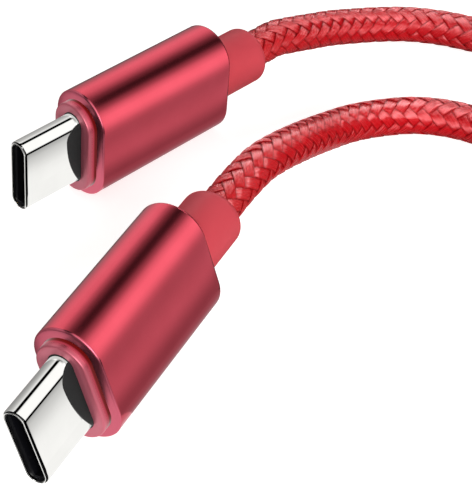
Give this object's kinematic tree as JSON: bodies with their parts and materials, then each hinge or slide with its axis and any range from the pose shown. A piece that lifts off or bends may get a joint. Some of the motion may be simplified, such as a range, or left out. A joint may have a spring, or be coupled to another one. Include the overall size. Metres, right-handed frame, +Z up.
{
  "type": "charging cable",
  "caption": "Braided red charging cable with the same slim oval reversible plug on each end, red metal plug bodies and short round collars, its spare length in a flat round coil.",
  "frame": {"origin": "on the surface under the two plugs, at the middle of their common box", "axes": "+Z up; +Y away from the viewer, the longer way across the two plugs; +X to the right, where the cable runs to its coil"},
  "size_m": [0.1162, 0.0776, 0.0137],
  "materials": {
    "plated_steel": "smooth bright nickel plating on drawn steel",
    "housing_plastic": "moulded black, fine satin",
    "contact_metal": "gold plated",
    "spring_steel": "plain rolled",
    "board_laminate": "green lacquered glass laminate",
    "chip_plastic": "moulded black, matt",
    "ceramic_parts": "fired ceramic with tinned ends",
    "mould_plastic": "moulded black, glossy",
    "bezel_metal": "red anodised, fine satin, polished edges",
    "body_metal": "red anodised, fine satin, polished front land",
    "wire_insulation": "extruded insulation",
    "ferrule_metal": "crimped copper alloy",
    "collar_plastic": "moulded red, satin",
    "cable_braid": "braided red polyester yarn"
  },
  "bodies": {
    "root": {"plug_shell_a": "plated_steel", "contact_housing_a": "housing_plastic", "contact_set_a": "contact_metal", "latch_spring_a": "spring_steel", "ground_springs_a": "spring_steel", "circuit_board_a": "board_laminate", "control_chip_a": "chip_plastic", "board_parts_a": "ceramic_parts", "inner_mould_a": "mould_plastic", "front_bezel_a": "bezel_metal", "body_sleeve_a": "body_metal", "wire_leads_a": "wire_insulation", "crimp_ferrule_a": "ferrule_metal", "cable_tail_a": "cable_braid", "strain_relief_a": "collar_plastic", "plug_shell_b": "plated_steel", "contact_housing_b": "housing_plastic", "contact_set_b": "contact_metal", "latch_spring_b": "spring_steel", "ground_springs_b": "spring_steel", "circuit_board_b": "board_laminate", "control_chip_b": "chip_plastic", "board_parts_b": "ceramic_parts", "inner_mould_b": "mould_plastic", "front_bezel_b": "bezel_metal", "body_sleeve_b": "body_metal", "wire_leads_b": "wire_insulation", "crimp_ferrule_b": "ferrule_metal", "cable_tail_b": "cable_braid", "strain_relief_b": "collar_plastic", "cord_stretch_a": "cable_braid", "cord_coil": "cable_braid", "cord_stretch_b": "cable_braid"}
  },
  "joints": []
}
